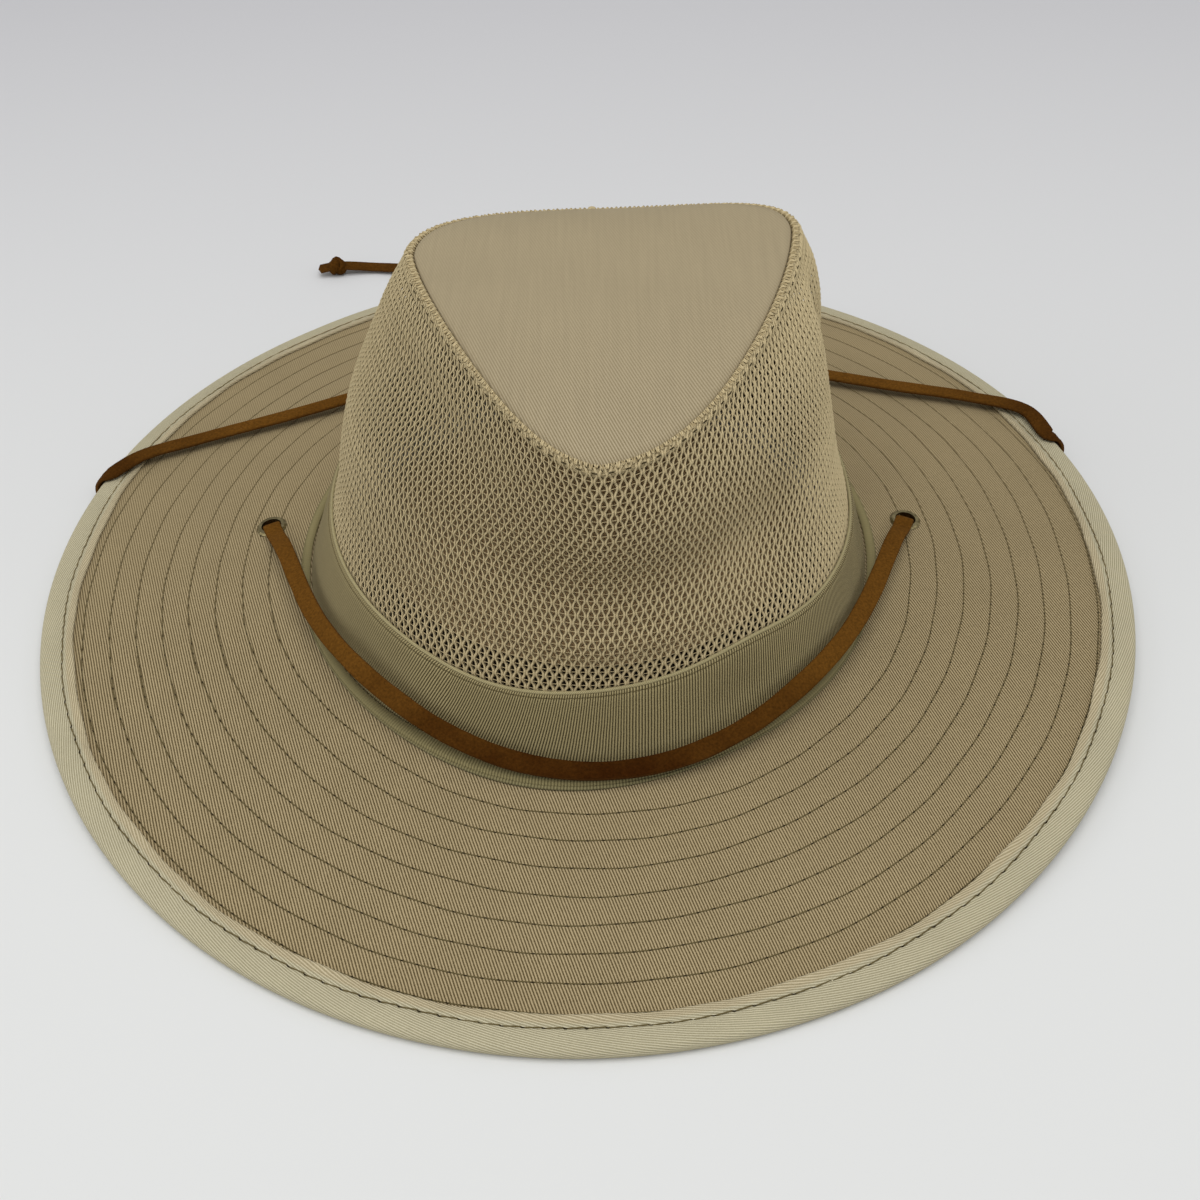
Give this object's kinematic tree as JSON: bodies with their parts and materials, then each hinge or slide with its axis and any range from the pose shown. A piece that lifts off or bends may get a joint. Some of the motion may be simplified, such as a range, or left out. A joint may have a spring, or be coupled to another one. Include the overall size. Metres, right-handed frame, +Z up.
{
  "type": "floppy hat",
  "caption": "Wide-brimmed floppy hat with a net crown, a dented top panel, a hat band, a stitched bound brim and a suede chin lace.",
  "frame": {"origin": "middle of the brim's outline, at the surface that the brim's front and back edges rest on", "axes": "+Z up, front of the hat towards -Y, the wearer's left towards +X"},
  "size_m": [0.35, 0.3875, 0.108],
  "materials": {
    "brim_twill": "taupe cotton twill with rows of dark olive stitches",
    "binding_twill": "pale sage twill bias tape over a padded edge",
    "band_twill": "sage olive twill",
    "net": "khaki knitted polyester net",
    "top_twill": "khaki cotton twill",
    "eyelet_brass": "antique brass with an olive cast",
    "suede": "dark brown suede lace"
  },
  "bodies": {
    "root": {"brim": "brim_twill", "brim_binding": "binding_twill", "hat_band": "band_twill", "band_lip": "band_twill", "crown_mesh": "net", "crown_top": "top_twill", "eyelet_left": "eyelet_brass", "eyelet_right": "eyelet_brass", "lace_front": "suede", "lace_left": "suede", "lace_right": "suede", "lace_slide": "suede"}
  },
  "joints": []
}
